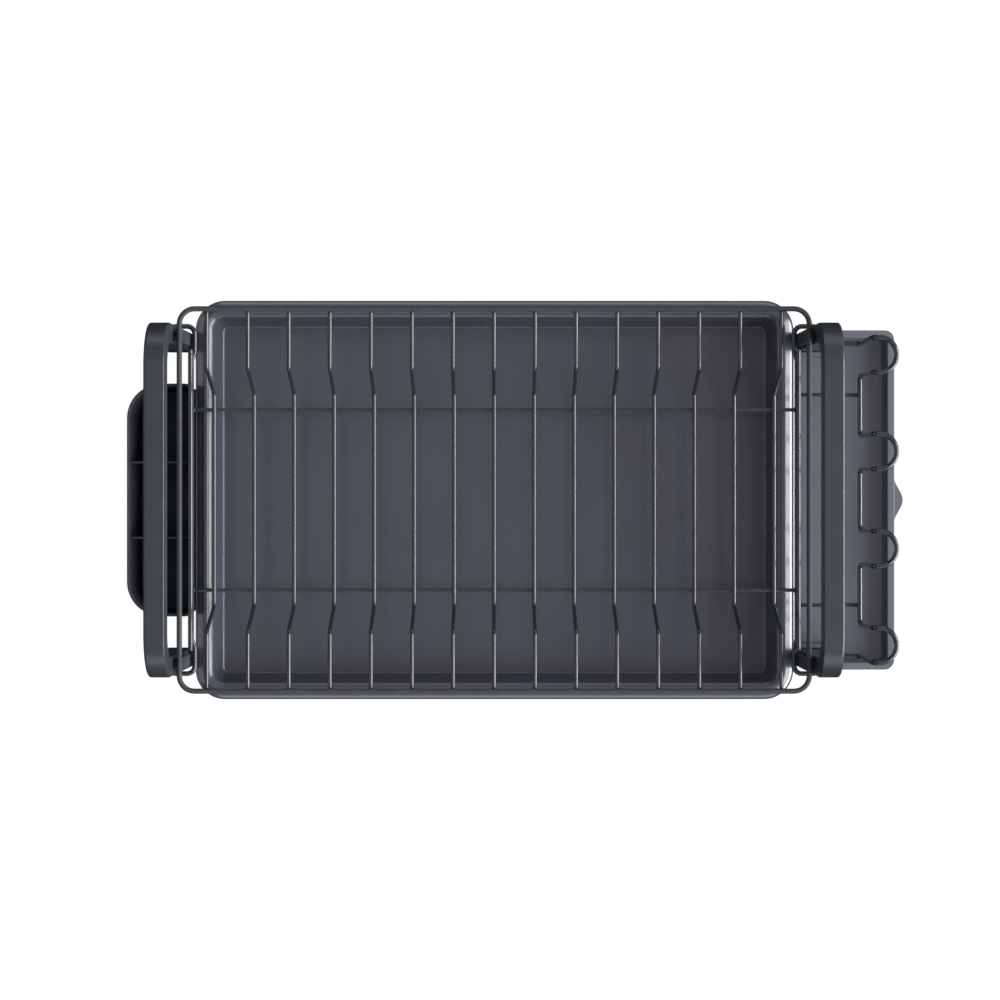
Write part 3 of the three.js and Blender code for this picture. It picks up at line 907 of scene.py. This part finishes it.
def tab_outline(end_x, inset):
    """Bell-shaped pull tab, rooted in the rim."""
    half = TAB_HALF_Y - inset
    points = []
    for i in range(TAB_SEGMENTS + 1):
        y = half * (2 * i / TAB_SEGMENTS - 1)
        rise = (1 + math.cos(math.pi * y / half)) / 2
        points.append(Vector((end_x - TAB_OVERLAP - inset + (TAB_REACH + TAB_OVERLAP) * rise, y, 0)))
    points.append(Vector((end_x - TAB_ROOT, half, 0)))
    points.append(Vector((end_x - TAB_ROOT, -half, 0)))
    return points


def add_glass_tray():
    """Shallow basin with a folded rim, a neck between the legs and a pull tab."""
    low, high = cad_box("glass_tray")
    rim = high.z
    end_x = high.x - TAB_REACH
    profile = rounded_profile([
        (12, TRAY_UNDERSIDE_Z, 0),
        (6.1, TRAY_UNDERSIDE_Z, 2.4),
        (4.6, rim - 1.8, 0.6),
        (0.9, rim - 1.8, 0.3),
        (0.8, rim - 2.6, 0.2),
        (0, rim - 2.6, 0.25),
        (0, rim, 0.7),
        (5.9, rim, 0.9),
        (8, TRAY_FLOOR_Z, 2.2),
        (12, TRAY_FLOOR_Z, 0),
    ])
    basin = loft(lambda inset: glass_tray_outline(low, high, end_x, inset), profile)
    tab_profile = [
        (0.5, rim - 1.7),
        (0.15, rim - 1.6),
        (0, rim - 1.3),
        (0, rim - 0.6),
        (0.15, rim - 0.3),
        (0.5, rim - 0.15),
    ]
    tab = loft(lambda inset: tab_outline(end_x, inset), tab_profile)
    piece = make_object("glass_tray_detailed", basin)
    combine(piece, tab, "UNION")
    finish_piece(piece, GLASS_TRAY_PLASTIC, "glass_tray", "tray_plastic", "glass_tray")
    add_pads("glass_tray", 4, "glass_tray")


def divider_shell(low_x, high_x, y):
    """Thin cross wall with a rounded top, rooted in the floor."""
    half = DIVIDER_THICKNESS / 2
    profile = rounded_profile([
        (0, TRAY_FLOOR_Z - DIVIDER_ROOT, 0),
        (0, DIVIDER_TOP_Z, 0.7),
        (half - DIVIDER_CREST, DIVIDER_TOP_Z, 0),
    ])

    def outline(inset):
        return rectangle_outline(low_x, high_x, y - half + inset, y + half - inset, DIVIDER_CORNER)

    return loft(outline, profile)


def add_cutlery_holder():
    """Tall open box with well-rounded outer corners and two cross walls, in one moulding."""
    low, high = cad_box("cutlery_holder")
    rim = high.z

    def outline(inset):
        wide = CUTLERY_OUTER_RADIUS - inset
        tight = CUTLERY_INNER_RADIUS - inset / 2
        radii = [wide, tight, tight, wide]
        return rectangle_outline(low.x + inset, high.x - inset, low.y + inset, high.y - inset, radii)

    profile = rounded_profile([
        (9, TRAY_UNDERSIDE_Z, 0),
        (1.6, TRAY_UNDERSIDE_Z, 2.2),
        (0, rim, 0.8),
        (2, rim, 0.7),
        (3.6, TRAY_FLOOR_Z, 2.4),
        (9, TRAY_FLOOR_Z, 0),
    ])
    piece = make_object("cutlery_holder_detailed", loft(outline, profile))
    for sign in (-1, 1):
        wall = divider_shell(low.x + DIVIDER_END_INSET, high.x - DIVIDER_END_INSET, sign * DIVIDER_Y)
        combine(piece, wall, "UNION")
    finish_piece(piece, CUTLERY_PLASTIC, "cutlery_holder", "cutlery_plastic", "cutlery_holder")
    add_pads("cutlery_holder", 4, "cutlery_holder")


# ---- Glass holder ----


def glass_holder_corners(low, high):
    """Corners of the holder's wire: two tips, the base run, and a raised loop for each glass."""
    half = HOLDER_DIAMETER / 2
    base_z = low.z + half
    loop_z = high.z - half
    loop_x = high.x - half
    corners = []
    for centre_y in LOOP_CENTRES_Y:
        back = centre_y + LOOP_HALF_Y
        front = centre_y - LOOP_HALF_Y
        corners += [
            (HOLDER_BASE_X, back, base_z),
            (LOOP_ARM_X, back, loop_z),
            (loop_x, back, loop_z),
            (loop_x, front, loop_z),
            (LOOP_ARM_X, front, loop_z),
            (HOLDER_BASE_X, front, base_z),
        ]
    corners[0] = (HOLDER_BASE_X, HOLDER_TIP_Y, base_z)
    corners[-1] = (HOLDER_BASE_X, -HOLDER_TIP_Y, base_z)
    back_tip = (low.x, HOLDER_TIP_Y, base_z)
    front_tip = (low.x, -HOLDER_TIP_Y, base_z)
    return [back_tip, *corners, front_tip]


def add_glass_holder():
    """One wire bent into four raised loops."""
    low, high = cad_box("glass_holder")
    corners = glass_holder_corners(low, high)
    loop_x = max(x for x, _, _ in corners)
    radii = [LOOP_BEND if x == loop_x else HOLDER_BEND for x, _, _ in corners]
    shell = wire([Vector(corner) for corner in corners], HOLDER_DIAMETER, radii)
    add_wire("glass_holder", "glass_holder", shell)


def add_catch_wires():
    """Two thin wires from the glass holder that catch under the end wire, and their welds."""
    beads = []
    for end, _ in ENDS:
        node = f"catch_wire_{end}"
        add_straight_wire(node, "glass_holder")
        weld_z = cad_box(node)[1].z + CATCH_WELD_LIFT
        beads.append(bead(Vector((HOLDER_BASE_X, cad_centre(node).y, weld_z)), CATCH_WELD))
    piece = make_object("glass_holder_welds", merged(*beads))
    finish_piece(piece, GLOSSY_COAT, "glass_holder", "coated_wire")


# ---- Stage, light and camera ----


def add_floor():
    """White sweep, bright enough that only the closest shadows show."""
    half = FLOOR_HALF_SIZE
    corners = [Vector((x, y, 0)) for x, y in ((-half, -half), (half, -half), (half, half), (-half, half))]
    floor = make_object("floor", (corners, [(0, 1, 2, 3)]))
    material, _, shader = new_material("floor", specular=0)
    shader.inputs["Base Color"].default_value = (FLOOR_GREY, FLOOR_GREY, FLOOR_GREY, 1)
    shader.inputs["Roughness"].default_value = 1
    shader.inputs["Emission Color"].default_value = (1, 1, 1, 1)
    shader.inputs["Emission Strength"].default_value = FLOOR_EMISSION
    floor.data.materials.append(material)
    floor.visible_glossy = False


def add_softbox(name, place, width, height, power):
    """Rectangular area light."""
    data = bpy.data.lights.new(name, "AREA")
    data.shape = "RECTANGLE"
    data.size = width
    data.size_y = height
    data.energy = power
    light = bpy.data.objects.new(name, data)
    light.location = place
    light.rotation_mode = "QUATERNION"
    light.rotation_quaternion = (Vector(LIGHT_TARGET) - Vector(place)).to_track_quat("-Z", "Y")
    bpy.context.scene.collection.objects.link(light)


def add_sky():
    """Pale even sky above the horizon, nearly dark below it."""
    world = bpy.data.worlds.new("studio")
    world.use_nodes = True
    tree = world.node_tree
    sky = tree.nodes["Background"]
    sky.inputs["Color"].default_value = SKY_COLOUR
    direction = tree.nodes.new("ShaderNodeTexCoord")
    height = tree.nodes.new("ShaderNodeSeparateXYZ")
    ramp = tree.nodes.new("ShaderNodeMapRange")
    ramp.inputs["From Min"].default_value = 0
    ramp.inputs["From Max"].default_value = HORIZON_BLEND
    ramp.inputs["To Min"].default_value = GROUND_STRENGTH
    ramp.inputs["To Max"].default_value = SKY_STRENGTH
    tree.links.new(direction.outputs["Generated"], height.inputs["Vector"])
    tree.links.new(height.outputs["Z"], ramp.inputs["Value"])
    tree.links.new(ramp.outputs["Result"], sky.inputs["Strength"])
    bpy.context.scene.world = world


def add_camera():
    """Straight above the rack, its top towards the back."""
    data = bpy.data.cameras.new("camera")
    data.sensor_width = SENSOR_WIDTH
    data.lens = LENS
    camera = bpy.data.objects.new("camera", data)
    camera.location = (CAMERA_X, 0, CAMERA_HEIGHT)
    bpy.context.scene.collection.objects.link(camera)
    bpy.context.scene.camera = camera
    bpy.context.scene.view_settings.view_transform = "Standard"


add_top_frame()
add_cross_wires()
for end_name, _ in ENDS:
    add_straight_wire(f"support_wire_{end_name}", "rack")
for side_name, _ in SIDES:
    add_straight_wire(f"end_wire_{side_name}", "rack")
add_stirrups()
add_brackets()
add_rack_welds()
add_handles()
add_handle_feet()
add_drip_tray()
add_glass_tray()
add_cutlery_holder()
add_glass_holder()
add_catch_wires()
add_floor()
for softbox in SOFTBOXES:
    add_softbox(*softbox)
add_sky()
add_camera()
